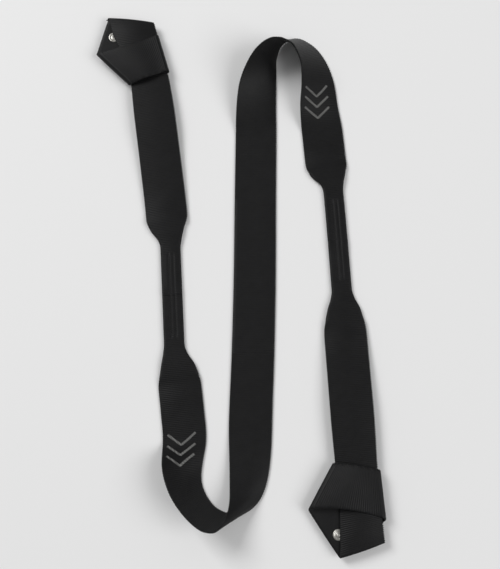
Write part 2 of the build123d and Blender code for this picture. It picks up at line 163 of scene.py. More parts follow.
def new_material(name: str) -> tuple[bpy.types.Material, bpy.types.NodeTree, bpy.types.Node]:
    """Make an empty material.

    Args:
        name: its name.

    Returns:
        The material, its tree, and its Principled shader, already linked to the output.
    """
    material = bpy.data.materials.new(name)
    material.use_nodes = True
    tree = material.node_tree
    tree.nodes.clear()
    shader = add_node(tree, "ShaderNodeBsdfPrincipled")
    add_node(tree, "ShaderNodeOutputMaterial", {"Surface": shader.outputs[0]})
    return material, tree, shader


def maths(tree: bpy.types.NodeTree, operation: str, *values: Any) -> bpy.types.NodeSocket:
    """Add a Math node for sockets or numbers, and give its output."""
    node = add_node(tree, "ShaderNodeMath", dict(enumerate(values)), operation=operation)
    return node.outputs[0]


def noise(tree: bpy.types.NodeTree, place: bpy.types.NodeSocket, scale: float, detail: float,
          roughness: float) -> bpy.types.NodeSocket:
    """Add a Noise Texture node, and give its output."""
    node = add_node(tree, "ShaderNodeTexNoise", {"Vector": place}, Scale=scale, Detail=detail,
                    Roughness=roughness)
    return node.outputs[0]


def two_tone(tree: bpy.types.NodeTree, shader: bpy.types.Node, factor: bpy.types.NodeSocket,
             first: str, last: str) -> bpy.types.ColorRamp:
    """Colour a shader with a ramp between two hex colours, and give the ramp."""
    node = add_node(tree, "ShaderNodeValToRGB", {0: factor})
    for element, colour in zip(node.color_ramp.elements, (first, last)):
        element.color = linear(colour)
    tree.links.new(node.outputs[0], shader.inputs["Base Color"])
    return node.color_ramp


def bump(tree: bpy.types.NodeTree, shader: bpy.types.Node, height: bpy.types.NodeSocket,
         strength: float, distance: float) -> None:
    """Bend a shader's normal by a height, with the distance in metres."""
    node = add_node(tree, "ShaderNodeBump", {"Height": height}, Strength=strength,
                    Distance=distance)
    tree.links.new(node.outputs[0], shader.inputs["Normal"])


def set_inputs(shader: bpy.types.Node, **values: Any) -> None:
    """Set a shader's inputs by name, with _ for a space."""
    for name, value in values.items():
        shader.inputs[name.replace("_", " ")].default_value = value


@dataclass(frozen=True)
class WovenPolyester:
    """Black polyester webbing, needle-loom woven: matt, with a faint sheen from the filaments."""

    name: str = "woven_polyester_webbing"
    dark: str = "#060607"
    light: str = "#0D0D0E"
    warp_pitch: float = 1.0
    roughness: float = 0.5

    def build(self) -> bpy.types.Material:
        """Make the material; its UV map is in millimetres over the webbing's width."""
        material, tree, shader = new_material(self.name)
        place = add_node(tree, "ShaderNodeUVMap", uv_map="Webbing")
        scaled = add_node(tree, "ShaderNodeVectorMath", {0: place.outputs[0], 1: (WIDTH, WIDTH, 1)},
                          operation="MULTIPLY").outputs[0]
        split = add_node(tree, "ShaderNodeSeparateXYZ", {0: scaled})
        # Warp yarns run along the strap, one every warp_pitch
        warp = maths(tree, "MULTIPLY", split.outputs[0], tau / self.warp_pitch)
        weft = maths(tree, "MULTIPLY", split.outputs[1], tau / RIB_PITCH)
        weave = maths(tree, "MULTIPLY", maths(tree, "SINE", warp), maths(tree, "COSINE", weft))
        # Filaments catch the light unevenly from pick to pick
        stretch = add_node(tree, "ShaderNodeMapping", {"Vector": scaled, "Scale": (0.12, 0.9, 1.0)})
        picks = noise(tree, stretch.outputs[0], 1.0, 3.0, 0.6)
        cloudy = noise(tree, scaled, 0.09, 4.0, 0.55)
        tone = add_node(tree, "ShaderNodeMapRange", {0: maths(tree, "ADD", picks, cloudy), 1: 0.75,
                                                     2: 1.25, 3: 0.0, 4: 1.0})
        two_tone(tree, shader, tone.outputs[0], self.dark, self.light)
        fine = noise(tree, scaled, 2.2, 2.0, 0.5)
        bump(tree, shader, maths(tree, "MULTIPLY_ADD", weave, 0.35, fine), 0.5, 0.00012)
        set_inputs(shader, Roughness=self.roughness, Specular_IOR_Level=0.22, Sheen_Weight=0.03,
                   Sheen_Roughness=0.45)
        return material


@dataclass(frozen=True)
class SpunThread:
    """Spun polyester thread: a fine twist of two plies shows as slanted bands, whose darker tone is
    painted shade in the grooves between the plies.
    """

    name: str
    colour: str
    shade: str
    twist: float = 0.55
    roughness: float = 0.6

    def build(self) -> bpy.types.Material:
        """Make the material, on Object coordinates in metres."""
        material, tree, shader = new_material(self.name)
        place = add_node(tree, "ShaderNodeTexCoord")
        plies = add_node(tree, "ShaderNodeTexWave", {"Vector": place.outputs["Object"]},
                         Scale=1000 / self.twist / 6.28, Distortion=1.2, Detail=1.0,
                         bands_direction="DIAGONAL").outputs[1]
        # The ramp runs from the darker shade colour to the thread's own colour: painted shade in
        # the grooves of the twist, while the bump gives the plies their relief
        two_tone(tree, shader, plies, self.shade, self.colour)
        bump(tree, shader, plies, 0.4, 0.0001)
        set_inputs(shader, Roughness=self.roughness, Specular_IOR_Level=0.2)
        return material


@dataclass(frozen=True)
class NickelPlate:
    """Bright nickel over pressed brass: mirror-like, dulled a little by handling marks."""

    name: str = "nickel_plated_brass"
    colour: str = "#BDBBB6"
    worn: str = "#9C9A94"
    roughness: float = 0.3

    def build(self) -> bpy.types.Material:
        """Make the material, on Object coordinates in metres."""
        material, tree, shader = new_material(self.name)
        place = add_node(tree, "ShaderNodeTexCoord")
        marks = noise(tree, place.outputs["Object"], 900.0, 4.0, 0.65)
        ramp = two_tone(tree, shader, marks, self.worn, self.colour)
        ramp.elements[0].position = 0.3
        ramp.elements[1].position = 0.6
        rough = add_node(tree, "ShaderNodeMapRange", {0: marks, 1: 0.3, 2: 0.7,
                                                      3: self.roughness, 4: self.roughness + 0.15})
        tree.links.new(rough.outputs[0], shader.inputs["Roughness"])
        set_inputs(shader, Metallic=1.0)
        return material


@dataclass(frozen=True)
class MattCard:
    """The plain pale surface that the strap lies on."""

    name: str = "pale_matt_card"
    colour: str = "#E9E9E9"

    def build(self) -> bpy.types.Material:
        """Make the material."""
        material, _, shader = new_material(self.name)
        set_inputs(shader, Base_Color=linear(self.colour), Roughness=0.9, Specular_IOR_Level=0.1)
        return material


# ---------------------------------------------------------------- where the webbing lies


def along(angle: float) -> np.ndarray:
    """The unit vector at an angle, in degrees, from +X in the table's plane."""
    return np.array((cos(radians(angle)), sin(radians(angle)), 0.0))


def at_distances(new: np.ndarray, old: np.ndarray, values: np.ndarray) -> np.ndarray:
    """Rows of values known at the old distances, at the new ones."""
    return np.stack([np.interp(new, old, column) for column in values.T], axis=1)


def unit(vectors: np.ndarray) -> np.ndarray:
    """Each row at length one."""
    return vectors / np.linalg.norm(vectors, axis=1, keepdims=True)


@dataclass
class Stations:
    """Sections of webbing in order, as arrays with a row each.

    A section is a line from the webbing's right edge to its left. Its normal stands on the
    smoother face, and its depth is the webbing's thickness, or two layers in a sewn neck.
    """

    middle: np.ndarray
    half: np.ndarray
    normal: np.ndarray
    depth: np.ndarray

    @property
    def parts(self) -> tuple[np.ndarray, ...]:
        """The four arrays, in order."""
        return self.middle, self.half, self.normal, self.depth

    @property
    def distance(self) -> np.ndarray:
        """How far each section is along the middle line."""
        steps = np.linalg.norm(np.diff(self.middle, axis=0), axis=1)
        return np.concatenate(([0.0], np.cumsum(steps)))

    def between(self, first: int, last: int) -> "Stations":
        """The sections from one number to another, both counted in."""
        return Stations(*(part[first:last + 1] for part in self.parts))

    def then(self, other: "Stations") -> "Stations":
        """These sections, then the other's without its first."""
        return Stations(*(np.concatenate((a, b[1:])) for a, b in zip(self.parts, other.parts)))

    def reversed(self) -> "Stations":
        """The same sections from the other end."""
        return Stations(*(part[::-1] for part in self.parts))

    def evenly(self, step: float) -> "Stations":
        """Sections about a step apart along the middle line."""
        old = self.distance
        count = max(2, int(round(old[-1] / step)) + 1)
        new = np.linspace(0.0, old[-1], count)
        middle, half, normal = (at_distances(new, old, part) for part in self.parts[:3])
        return Stations(middle, half, unit(normal), np.interp(new, old, self.depth))


@dataclass(frozen=True)
class Row:
    """One drawn place of the webbing: its two edges and its depth."""

    right: np.ndarray
    left: np.ndarray
    depth: float = THICKNESS


def level(x: float, y: float, slant: float, height: float = REST_HEIGHT, width: float = WIDTH,
          depth: float = THICKNESS) -> Row:
    """A level section from its middle and the angle of its line from the X axis."""
    middle = np.array((x, y, height))
    half = along(slant) * (width / 2)
    return Row(middle + half, middle - half, depth)


def neck(x: float, y: float, slant: float, width: float = NECK_WIDTH) -> Row:
    """A level section of a sewn neck."""
    return level(x, y, slant, NECK_THICKNESS / 2, width, NECK_THICKNESS)


def shoulder(x: float, y: float, slant: float) -> Row:
    """A level section where the webbing widens out of a neck."""
    return level(x, y, slant, NECK_THICKNESS / 2, SHOULDER_WIDTH,
                 (THICKNESS + NECK_THICKNESS) / 2)


def raised(x: float, y: float, across: float, along_leg: float, rise: float) -> Row:
    """A section whose right edge is on the table; the rest is its direction to the left."""
    right = np.array((x, y, REST_HEIGHT))
    to_left = np.array((across, along_leg, rise))
    return Row(right, right + to_left / np.linalg.norm(to_left) * WIDTH)


LEFT_LEG = [
    level(-93.5, 191.0, 9.5, FRONT_HEIGHT, MOUTH_WIDTH),
    level(-88.6, 158.0, 8.5, FRONT_HEIGHT),
    level(-83.2, 118.5, 7.5, 0.62 * FRONT_HEIGHT),
    level(-76.6, 67.0, 7.0, 0.28 * FRONT_HEIGHT),
    shoulder(-75.5, 51.6, 6.0),
    neck(-72.7, 40.2, 5.0, NECK_MOUTH_WIDTH),
    neck(-72.0, 28.0, 4.5),
    neck(-69.8, -10.5, 3.2),
    neck(-67.6, -49.4, 3.2),
    neck(-66.5, -62.0, 3.5, NECK_MOUTH_WIDTH),
    shoulder(-63.4, -75.4, 4.5),
    level(-61.4, -94.5, 5.0),
    level(-59.0, -115.0, 5.5),
    level(-56.9, -138.0, 5.5),
]
LOWER_BEND = [
    raised(-41.0, -159.0, -0.88, -0.10, 0.44),
    raised(-41.8, -175.0, -0.68, -0.26, 0.68),
    raised(-36.5, -188.5, -0.50, -0.38, 0.78),
    raised(-27.5, -198.0, -0.38, -0.44, 0.81),
    raised(-15.0, -202.0, -0.42, -0.40, 0.81),
    raised(-1.5, -199.0, -0.64, -0.38, 0.73),
    raised(8.5, -189.5, -0.82, -0.42, 0.58),
    raised(14.5, -175.0, -0.92, -0.48, 0.34),
    raised(18.0, -153.0, -0.97, -0.34, 0.11),
]
CENTRE_LEG = [
    level(0.6, -120.0, 1.5),
    level(2.7, -62.0, 1.5),
    level(4.2, 4.0, 0.8),
    level(4.9, 80.0, 0.6),
    level(5.6, 138.0, 0.5),
]
UPPER_BEND = [
    raised(24.5, 165.0, -0.98, 0.00, 0.18),
    raised(24.6, 190.0, -0.88, 0.05, 0.46),
    raised(24.7, 207.0, -0.57, 0.16, 0.80),
    raised(25.0, 221.0, -0.20, 0.06, 0.98),
    raised(31.0, 236.0, -0.07, -0.30, 0.95),
    raised(44.0, 241.5, -0.19, -0.50, 0.84),
    raised(59.0, 234.5, -0.41, -0.52, 0.75),
    raised(71.0, 219.0, -0.62, -0.42, 0.66),
    raised(79.0, 197.0, -0.82, -0.28, 0.50),
    raised(82.5, 172.0, -0.94, -0.13, 0.31),
]
RIGHT_LEG = [
    level(67.6, 146.0, 5.5, 1.2 * REST_HEIGHT),
    level(70.3, 116.4, 6.5),
    shoulder(72.6, 102.7, 6.3),
    neck(75.9, 93.9, 5.8, NECK_MOUTH_WIDTH),
    neck(77.2, 81.3, 5.2),
    neck(79.8, 41.5, 3.8),
    neck(82.2, 0.0, 3.3),
    neck(83.0, -12.0, 3.2, NECK_MOUTH_WIDTH),
    shoulder(84.1, -25.8, 3.2),
    level(85.0, -48.5, 3.2, 0.42 * FRONT_HEIGHT),
    level(87.0, -86.0, 4.0, 0.8 * FRONT_HEIGHT),
    level(88.8, -118.0, 4.4, FRONT_HEIGHT),
    level(91.0, -158.0, 4.8, FRONT_HEIGHT, MOUTH_WIDTH),
]
ROUTE = LEFT_LEG + LOWER_BEND + CENTRE_LEG + UPPER_BEND + RIGHT_LEG
LEFT_NECK = (3, 7, 11)
CENTRE = (24, 26)
RIGHT_NECK = (39, 43, 47)


def smooth(values: np.ndarray, steps: int) -> np.ndarray:
    """Pass a smooth line through values, without overshooting them.

    Args:
        values: one row for each drawn place.
        steps: how many new rows each span gets.

    Returns:
        The rows of the smooth line.
    """
    rise = np.diff(values, axis=0)
    before, after = rise[:-1], rise[1:]
    steepest = 3 * np.minimum(abs(before), abs(after))
    slope = np.where(before * after > 0, (before + after) / 2, 0.0)
    slope = np.clip(slope, -steepest, steepest)
    slope = np.concatenate((slope[:1] * 0, slope, slope[:1] * 0))
    share = (np.arange(steps) / steps)[None, :, None]
    low, high = values[:-1, None], values[1:, None]
    start, end = slope[:-1, None], slope[1:, None]
    cubic = (low - high) * 2 + start + end
    square = (high - low) * 3 - start * 2 - end
    line = ((cubic * share + square) * share + start) * share + low
    return np.concatenate((line.reshape(-1, values.shape[1]), values[-1:]))


def route_stations() -> Stations:
    """The sections of the three legs and two bends, from the left mouth to the right."""
    middle = smooth(np.array([(row.left + row.right) / 2 for row in ROUTE]), ROUTE_STEPS)
    half = smooth(np.array([(row.left - row.right) / 2 for row in ROUTE]), ROUTE_STEPS)
    depth = smooth(np.array([[row.depth] for row in ROUTE]), ROUTE_STEPS)[:, 0]
    return Stations(middle, half, unit(np.cross(np.gradient(middle, axis=0), half)), depth)


class FoldedEnd:
    """Follows the webbing from a slip loop's mouth through its folds to its tip."""

    def __init__(self, middle: np.ndarray, heading: float, side: int, facing: Face) -> None:
        """Start at the mouth.

        Args:
            middle: the middle of the webbing there.
            heading: where it goes, in degrees from +X.
            side: 1 where the left edge is on the left of the heading, -1 where it isn't.
            facing: the face that is up there.
        """
        self.middle = middle
        self.heading = heading
        self.side = side
        self.facing = facing.value
        self.line = heading + 90 * side
        self.width = MOUTH_WIDTH
        self.rows = [self.section()]

    def section(self) -> Section:
        """The middle, half line and normal at this place."""
        reach = self.width / 2 / abs(sin(radians(self.line - self.heading)))
        return self.middle, along(self.line) * reach, UP * self.facing

    def facing_line(self, line: float) -> float:
        """The same line as an angle that points to the webbing's left edge."""
        if self.side * sin(radians(line - self.heading)) < 0:
            line += 180
        return line + 360 * round((self.line - line) / 360)

    def run(self, length: float, turn: float, line: float | None = None, width: float = WIDTH,
            steps: int = 24) -> list[Section]:
        """Go on level, turning in the plane.

        Args:
            length: how far.
            turn: by how much, in degrees.
            line: the angle of the section's line at the end, or None to stay square.
            width: the webbing's width at the end.
            steps: how many sections to make.

        Returns:
            The sections, from the present one on.
        """
        start_line, start_heading, start_width = self.line, self.heading, self.width
        if line is None:
            line = self.heading + turn + 90 * self.side
            line += 360 * round((start_line - line) / 360)
        else:
            self.heading += turn
            line = self.facing_line(line)
            self.heading -= turn
        first = len(self.rows)
        for step in range(1, steps + 1):
            share = step / steps
            middle_heading = start_heading + turn * (share - 0.5 / steps)
            self.middle = self.middle + along(middle_heading) * (length / steps)
            self.heading = start_heading + turn * share
            self.line = start_line + (line - start_line) * share
            self.width = start_width + (width - start_width) * share
            self.rows.append(self.section())
        return self.rows[first - 1:]

    def fold(self, climb: float, bulge: float, skew: float = 0.0, slide: float = 0.0,
             steps: int = 24) -> list[Section]:
        """Roll over the present line to another height, and come back reversed.

        Args:
            climb: how much higher the webbing then lies.
            bulge: how far the roll stands out from the line.
            skew: what a loose roll adds to the heading.
            slide: how far it moves the webbing along the line.
            steps: how many sections to make.

        Returns:
            The sections, from the present one on.
        """
        across = along(self.line)
        ahead = np.array((across[1], -across[0], 0.0))
        if ahead @ along(self.heading) < 0:
            ahead = -ahead
        drift = (along(self.heading) @ across) / (along(self.heading) @ ahead)
        half_climb = climb / 2
        middle, half, _ = self.rows[-1]
        sign = self.facing * np.sign(np.cross(ahead, across)[2])
        first = len(self.rows)
        for step in range(1, steps + 1):
            turn = pi * step / steps
            shift = ahead * (bulge * sin(turn)) + UP * (half_climb * (1 - cos(turn)))
            shift = shift + across * (drift * turn * (bulge + abs(half_climb)) / 2
                                      + slide * turn / pi)
            tangent = ahead * (bulge * cos(turn)) + UP * (half_climb * sin(turn))
            normal = np.cross(tangent, across) * sign
            self.rows.append((middle + shift, half, normal / np.linalg.norm(normal)))
        self.middle = self.rows[-1][0]
        self.heading = 2 * self.line - self.heading + skew
        self.side = -self.side
        self.facing = -self.facing
        return self.rows[first - 1:]


def joined(*runs: list[Section]) -> Stations:
    """Sections from runs that each start where the last one ends."""
    rows = runs[0] + [row for run in runs[1:] for row in run[1:]]
    middle, half, normal = (np.array(column) for column in zip(*rows))
    return Stations(middle, half, normal, np.full(len(rows), THICKNESS))


@dataclass(frozen=True)
class LoopLayout:
    """How a slip loop is folded: runs are shares of the width, turns and lines are degrees.

    The bow, in millimetres, is how far the front's edge stands out over the snap.
    """

    heading: float
    side: int
    throat: float
    throat_turn: float
    front: float
    front_turn: float
    end_line: float
    bight_skew: float
    bight_slide: float
    turn_back: float
    turn_back_turn: float
    back_line: float
    back: float
    back_turn: float
    diagonal_line: float
    band: float
    band_turn: float
    wrap_line: float
    wrap_skew: float
    tip: float
    tip_turn: float
    bow: float = 0.0


RIGHT_LAYOUT = LoopLayout(
    heading=-85.2, side=-1, throat=0.65, throat_turn=-1.4, front=1.25, front_turn=-2.6,
    end_line=18.5, bight_skew=0.0, bight_slide=0.0, turn_back=0.65, turn_back_turn=-3.0,
    back_line=38.0, back=0.85, back_turn=-2.5, diagonal_line=61.0, band=1.235, band_turn=-18.0,
    wrap_line=95.0, wrap_skew=4.0, tip=1.21, tip_turn=2.0)
LEFT_LAYOUT = LoopLayout(
    heading=99.5, side=1, throat=0.64, throat_turn=7.0, front=1.14, front_turn=3.0,
    end_line=-6.0, bight_skew=10.0, bight_slide=2.0, turn_back=0.32, turn_back_turn=6.0,
    back_line=-14.0, back=0.93, back_turn=2.5, diagonal_line=-44.5, band=1.155, band_turn=13.0,
    wrap_line=-73.5, wrap_skew=-12.0, tip=1.22, tip_turn=-6.0,
    bow=3.2)


# ---------------------------------------------------------------- meshes


@dataclass
class PlaceInPart:
    """Turns places in the webbing's frame into metres in the part's frame."""

    origin: np.ndarray

    @classmethod
    def from_record(cls, row: Row) -> "PlaceInPart":
        """Find the frame from the rest face, which is under the middle of the drawn row."""
        mount = next(m for m in frame["record"]["mounts"] if m["name"] == "rest_face")
        drawn = (row.left + row.right) / 2
        return cls(np.array(mount["pos_m"]) * 1000 - np.array((drawn[0], drawn[1], 0.0)))

    def metres(self, points: np.ndarray) -> np.ndarray:
        """Points in metres in the part's frame."""
        return (np.asarray(points) + self.origin) / 1000

    def vector(self, point: np.ndarray) -> Vector:
        """One point in metres in the part's frame."""
        return Vector(self.metres(point))


def link(name: str, data: Any) -> Piece:
    """Make an object of some data, at the origin, in the scene."""
    piece = bpy.data.objects.new(name, data)
    bpy.context.scene.collection.objects.link(piece)
    return piece


def new_object(name: str, points: np.ndarray, faces: np.ndarray | list) -> Piece:
    """Make a mesh object at the origin.

    Args:
        name: its name.
        points: vertex places in metres.
        faces: vertex numbers of each face.

    Returns:
        The object, linked to the scene.
    """
    mesh = bpy.data.meshes.new(name)
    mesh.from_pydata([tuple(p) for p in points], [], [tuple(int(i) for i in f) for f in faces])
    mesh.update()
    return link(name, mesh)


def store(piece: Piece, name: str, values: np.ndarray, kind: str = "FLOAT") -> None:
    """Keep a value for each vertex in an attribute."""
    attribute = piece.data.attributes.new(name, kind, "POINT")
    key = "vector" if kind == "FLOAT_VECTOR" else "value"
    attribute.data.foreach_set(key, np.asarray(values, np.float32).ravel())


class GeometryTree:
    """A Geometry Nodes tree with named inputs, used once and turned into a plain mesh."""

    def __init__(self, name: str, inputs: dict[str, tuple[str, Any]]) -> None:
        """Make the tree's sockets.

        Args:
            name: the tree's name.
            inputs: each input's socket type and value, by name.
        """
        self.tree = bpy.data.node_groups.new(name, "GeometryNodeTree")
        self.values = {name: value for name, (_, value) in inputs.items()}
        self.tree.interface.new_socket("Geometry", in_out="INPUT",
                                       socket_type="NodeSocketGeometry")
        for socket, (kind, _) in inputs.items():
            self.tree.interface.new_socket(socket, in_out="INPUT", socket_type=kind)
        self.tree.interface.new_socket("Geometry", in_out="OUTPUT",
                                       socket_type="NodeSocketGeometry")
        self.source = self.tree.nodes.new("NodeGroupInput")

    def add(self, kind: str, links: dict[Any, Any] | None = None,
            **settings: Any) -> bpy.types.Node:
        """Add a node to the tree."""
        return add_node(self.tree, kind, links, **settings)

    def given(self, name: str) -> bpy.types.NodeSocket:
        """The output of the tree's own input."""
        return self.source.outputs[name]

    def finish(self, geometry: bpy.types.NodeSocket) -> None:
        """End the tree in Realize Instances and Set Material."""
        real = self.add("GeometryNodeRealizeInstances", {"Geometry": geometry})
        dressed = self.add("GeometryNodeSetMaterial",
                           {"Geometry": real.outputs[0], "Material": self.given("Material")})
        self.add("NodeGroupOutput", {"Geometry": dressed.outputs[0]})

    def bake(self, piece: Piece) -> Piece:
        """Run the tree on a piece and keep the result as its plain mesh."""
        modifier = piece.modifiers.new("Geometry", "NODES")
        modifier.node_group = self.tree
        for item in self.tree.interface.items_tree:
            if item.in_out == "INPUT" and item.name in self.values:
                modifier[item.identifier] = self.values[item.name]
        graph = bpy.context.evaluated_depsgraph_get()
        mesh = bpy.data.meshes.new_from_object(piece.evaluated_get(graph))
        piece.modifiers.remove(modifier)
        old = piece.data
        piece.data = mesh
        mesh.name = piece.name
        bpy.data.meshes.remove(old)
        bpy.data.node_groups.remove(self.tree)
        return piece


def woven_relief(material: bpy.types.Material) -> GeometryTree:
    """The ribs across the webbing's faces and the loops of weft along its edges."""
    tree = GeometryTree("woven_relief", {
        "Rib Pitch": ("NodeSocketFloat", RIB_PITCH),
        "Rib Height": ("NodeSocketFloat", RIB_HEIGHT / 1000),
        "Tooth Pitch": ("NodeSocketFloat", TOOTH_PITCH),
        "Tooth Height": ("NodeSocketFloat", TOOTH_HEIGHT / 1000),
        "Material": ("NodeSocketMaterial", material),
    })
    distance = tree.add("GeometryNodeInputNamedAttribute", Name="distance", data_type="FLOAT")
    offsets = []
    for pitch, height, weight in (("Rib Pitch", "Rib Height", "face"),
                                  ("Tooth Pitch", "Tooth Height", "edge")):
        here = tree.add("GeometryNodeInputNamedAttribute", Name=weight, data_type="FLOAT")
        turns = maths(tree.tree, "DIVIDE", distance.outputs[0], tree.given(pitch))
        wave = maths(tree.tree, "COSINE", maths(tree.tree, "MULTIPLY", turns, tau))
        tall = maths(tree.tree, "MULTIPLY", wave, tree.given(height))
        offsets.append(maths(tree.tree, "MULTIPLY", tall, here.outputs[0]))
    total = maths(tree.tree, "ADD", *offsets)
    normal = tree.add("GeometryNodeInputNormal")
    offset = tree.add("ShaderNodeVectorMath", {0: normal.outputs[0], "Scale": total},
                      operation="SCALE")
    moved = tree.add("GeometryNodeSetPosition", {"Geometry": tree.given("Geometry"),
                                                 "Offset": offset.outputs[0]})
    smooth_faces = tree.add("GeometryNodeSetShadeSmooth", {"Geometry": moved.outputs[0]})
    tree.finish(smooth_faces.outputs[0])
    return tree


def thread_row(material: bpy.types.Material, pitch: float, size: tuple[float, float, float]
               ) -> GeometryTree:
    """Stitches set along a seam line.

    Args:
        material: the thread's finish.
        pitch: from one stitch to the next.
        size: a stitch's length along the line, width and height.

    Returns:
        The tree, for a piece whose mesh is the line with an "up" for each vertex.
    """
    tree = GeometryTree("thread_row", {
        "Pitch": ("NodeSocketFloat", pitch / 1000),
        "Stitch Size": ("NodeSocketVector", tuple(value / 1000 for value in size)),
        "Material": ("NodeSocketMaterial", material),
    })
    curve = tree.add("GeometryNodeMeshToCurve", {"Mesh": tree.given("Geometry")})
    even = tree.add("GeometryNodeResampleCurve", {"Curve": curve.outputs[0],
                                                  "Length": tree.given("Pitch")}, mode="LENGTH")
    stitch = tree.add("GeometryNodeMeshUVSphere", Segments=8, Rings=6, Radius=0.5)
    sized = tree.add("GeometryNodeTransform", {"Geometry": stitch.outputs[0],
                                               "Scale": tree.given("Stitch Size")})
    tangent = tree.add("GeometryNodeInputTangent")
    up = tree.add("GeometryNodeInputNamedAttribute", Name="up", data_type="FLOAT_VECTOR")
    lengthwise = tree.add("FunctionNodeAlignRotationToVector", {"Vector": tangent.outputs[0]},
                          axis="X")
    upright = tree.add("FunctionNodeAlignRotationToVector",
                       {"Rotation": lengthwise.outputs[0], "Vector": up.outputs[0]},
                       axis="Z", pivot_axis="X")
    placed = tree.add("GeometryNodeInstanceOnPoints", {
        "Points": even.outputs[0], "Instance": sized.outputs[0], "Rotation": upright.outputs[0]})
    smooth_faces = tree.add("GeometryNodeSetShadeSmooth", {"Geometry": placed.outputs[0]})
    tree.finish(smooth_faces.outputs[0])
    return tree


@dataclass
class Ribbon:
    """A stretch of webbing as a closed body with real thickness."""

    name: str
    stations: Stations
    place: PlaceInPart
    columns: int = 13
    seam_middle: float | None = None
    seam_length: float = 76.0
    seam_spacing: float = 4.2
    start_distance: float = 0.0
    edge: float = 0.5
    fold_radius: float = 0.9
    crown: float = 0.0
    arch: float = 0.0
    bulges: tuple[tuple[float, float, float], ...] = ()
    lengths: np.ndarray = field(init=False)

    def __post_init__(self) -> None:
        """Divide the stretch into rows fine enough for its ribs."""
        self.stations = self.stations.evenly(RIB_PITCH / ROWS_PER_RIB)
        self.lengths = self.stations.distance

    @property
    def length(self) -> float:
        """How long the stretch is."""
        return float(self.lengths[-1])

    def profile(self) -> tuple[np.ndarray, np.ndarray, np.ndarray, np.ndarray]:
        """The middle of the thickness across each section.

        Returns:
            For each row and column: the place across, the place up, the lean of the surface
            there in radians, and the place across as if the webbing were flat.
        """
        outer = np.linalg.norm(self.stations.half, axis=1)[:, None]
        folded = np.clip((self.stations.depth[:, None] - THICKNESS) * 50, 0, 1)
        flat_half = np.where(folded > 0, np.maximum(outer, WIDTH / 2), outer) - self.edge
        tuck = np.clip((WIDTH / 2 - outer) / 4.5, 0, 1) * folded
        bend = np.maximum(tuck / self.fold_radius, 1e-6)
        arc_start = np.minimum(outer - tuck * (self.fold_radius + THICKNESS / 2), flat_half)
        arc_end = arc_start + pi / bend
        first = np.minimum(arc_start, flat_half - 1.6)
        second = np.clip(arc_end, first + 0.8, flat_half - 0.6)
        share = np.linspace(0, 1, (self.columns + 1) // 2)[None, :]
        if self.seam_middle is None:
            half = share ** 0.85 * flat_half
        else:
            inner = np.linspace(0, 1, 12)[None, :] * first
            middle = first + np.linspace(0, 1, 9)[None, 1:] * (second - first)
            outside = second + np.linspace(0, 1, 5)[None, 1:] * (flat_half - second)
            half = np.concatenate((inner, middle, outside), axis=1)
        past = np.maximum(half - arc_start, 0)
        lean = np.minimum(past * bend, pi)
        rest = np.maximum(past - pi / bend, 0)
        x = np.where(past > 0, arc_start + np.sin(lean) / bend - rest, half)
        reach = (x + np.sin(lean) * THICKNESS / 2 + self.edge * np.cos(lean)).max(axis=1)
        x = x * (outer[:, 0] / reach)[:, None]
        z = -(1 - np.cos(lean)) / bend
        z = z + (self.stations.depth[:, None] - THICKNESS) / 2
        mirror = slice(None, 0, -1)
        x = np.concatenate((-x[:, mirror], x), axis=1)
        z = np.concatenate((z[:, mirror], z), axis=1)
        lean = np.concatenate((-lean[:, mirror], lean), axis=1)
        flat = np.concatenate((-half[:, mirror], half), axis=1)
        return x, z + self.pull(x, lean) + self.swell(x, outer), lean, flat

    def swell(self, x: np.ndarray, outer: np.ndarray) -> np.ndarray:
        """How far the webbing stands out where it is not pressed flat."""
        from_ends = np.minimum(self.lengths, self.length - self.lengths)
        ends = np.clip(from_ends / SETTLED, 0, 1)[:, None]
        ends = ends * ends * (3 - 2 * ends)
        share = np.clip(abs(x) / outer, 0, 1)
        rise = -self.crown * ends * share ** 2
        rise = rise + self.arch * np.sin(pi * self.lengths / self.length)[:, None] ** 2
        for middle, height, spread in self.bulges:
            near = np.exp(-((self.lengths - middle) / spread) ** 2)[:, None]
            rise = rise + height * near * (1 - share ** 2)
        return rise

    def pull(self, x: np.ndarray, lean: np.ndarray) -> np.ndarray:
        """How the two rows of stitches draw the top layer down and leave a ridge between."""
        if self.seam_middle is None:
            return np.zeros_like(x)
        from_end = self.seam_length / 2 + 2 - abs(self.lengths - self.seam_middle)
        here = np.clip(from_end / 5, 0, 1)[:, None]
        top = abs(lean) < 0.5
        valley = np.exp(-((abs(x) - self.seam_spacing / 2) / VALLEY_REACH) ** 2)
        ridge = np.exp(-(x / RIDGE_REACH) ** 2)
        return np.where(top, (RIDGE_HEIGHT * ridge - VALLEY_DEPTH * valley) * here, 0.0)

    def surface(self, distance: np.ndarray, across: np.ndarray, lift: float
                ) -> tuple[np.ndarray, np.ndarray]:
        """Places on the ribbed face, and the way up from it.

        Args:
            distance: how far along the stretch each place is.
            across: how far from the middle towards the left edge.
            lift: how far above the face.

        Returns:
            The places, and unit vectors away from the face.
        """
        def point(d: np.ndarray, a: np.ndarray) -> np.ndarray:
            """A point on the face."""
            middle, half, normal = (at_distances(d, self.lengths, part)
                                    for part in self.stations.parts[:3])
            depth = np.interp(d, self.lengths, self.stations.depth)[:, None]
            return middle + unit(half) * a[:, None] - normal * depth / 2

        step = RIB_PITCH / ROWS_PER_RIB
        ahead = point(distance + step, across) - point(distance - step, across)
        aside = point(distance, across + step) - point(distance, across - step)
        up = unit(-np.cross(ahead, aside))
        return point(distance, across) + up * lift, up

    def build(self, material: bpy.types.Material) -> Piece:
        """Make the body, its relief and its UV map.

        Args:
            material: the webbing's finish.

        Returns:
            The piece.
        """
        x, z, lean, flat = self.profile()
        rows, columns = x.shape
        across, up = unit(self.stations.half), -self.stations.normal
        caps = np.array((0.25, 0.5, 0.75)) * pi

